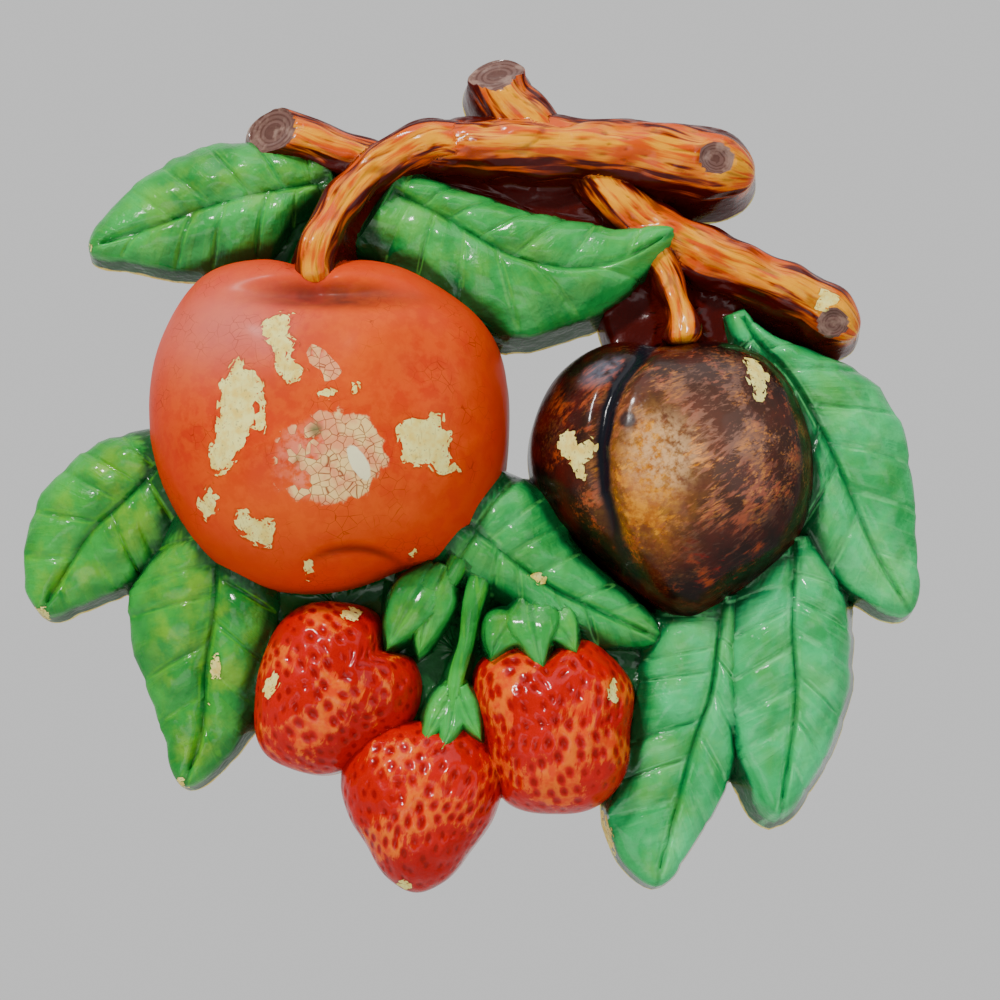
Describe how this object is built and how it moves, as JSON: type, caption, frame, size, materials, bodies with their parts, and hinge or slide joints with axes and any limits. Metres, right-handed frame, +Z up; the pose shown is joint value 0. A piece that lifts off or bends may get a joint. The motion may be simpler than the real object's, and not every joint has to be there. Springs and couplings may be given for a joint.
{
  "type": "fruit wall plaque",
  "caption": "Painted and varnished cast plaster wall plaque in low relief: an apple, a plum and strawberries among leaves under cut branches, with a nail pocket in its flat back.",
  "frame": {"origin": "where the nail bears: middle of the roof of the nail pocket, on the plane of the flat back, straight above the centre of mass", "axes": "+Z up as it hangs, the relief faces -Y to the room, the flat back lies on y = 0 and faces +Y to the wall"},
  "size_m": [0.1963, 0.037, 0.1851],
  "materials": {
    "painted_plaster": "painted and varnished plaster, glossy, bare at the back"
  },
  "bodies": {
    "root": {"plaque": "painted_plaster"}
  },
  "joints": []
}
